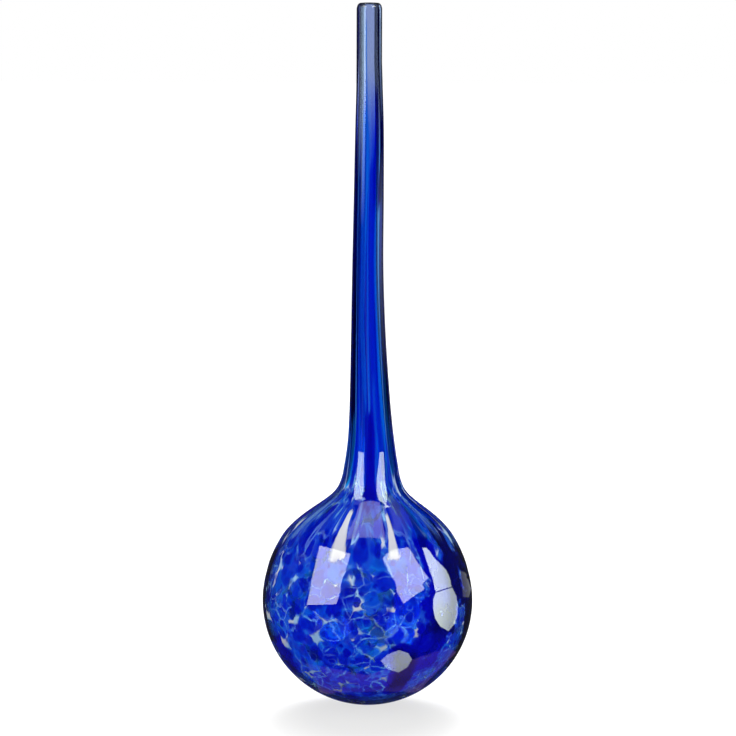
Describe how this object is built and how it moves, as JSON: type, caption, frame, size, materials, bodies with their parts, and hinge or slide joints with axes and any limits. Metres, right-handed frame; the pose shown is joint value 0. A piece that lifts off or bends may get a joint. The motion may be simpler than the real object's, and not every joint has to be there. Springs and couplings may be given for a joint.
{
  "type": "watering globe",
  "caption": "Hand-blown glass bulb with a long hollow stem open at its end: filled with water and pushed stem down into potting soil, it waters a plant slowly.",
  "frame": {"origin": "the lowest point of the round bulb, on the axis of the mouth", "axes": "+Z runs from the bulb up the stem and out of its open mouth; +X and +Y are square to it, and the neck leans about 1 mm towards +X"},
  "size_m": [0.09, 0.09, 0.3],
  "materials": {
    "clear_glass": "clear blown glass, fire polished",
    "cobalt_glass": "deep cobalt blue glass, smooth",
    "azure_glass": "azure blue glass, smooth",
    "opal_glass": "pale sky-blue opal glass, smooth"
  },
  "bodies": {
    "root": {"clear_glass_vessel": "clear_glass", "cobalt_chips": "cobalt_glass", "azure_chips": "azure_glass", "opal_chips": "opal_glass", "cobalt_streaks": "cobalt_glass", "azure_streaks": "azure_glass", "opal_streaks": "opal_glass"}
  },
  "joints": []
}
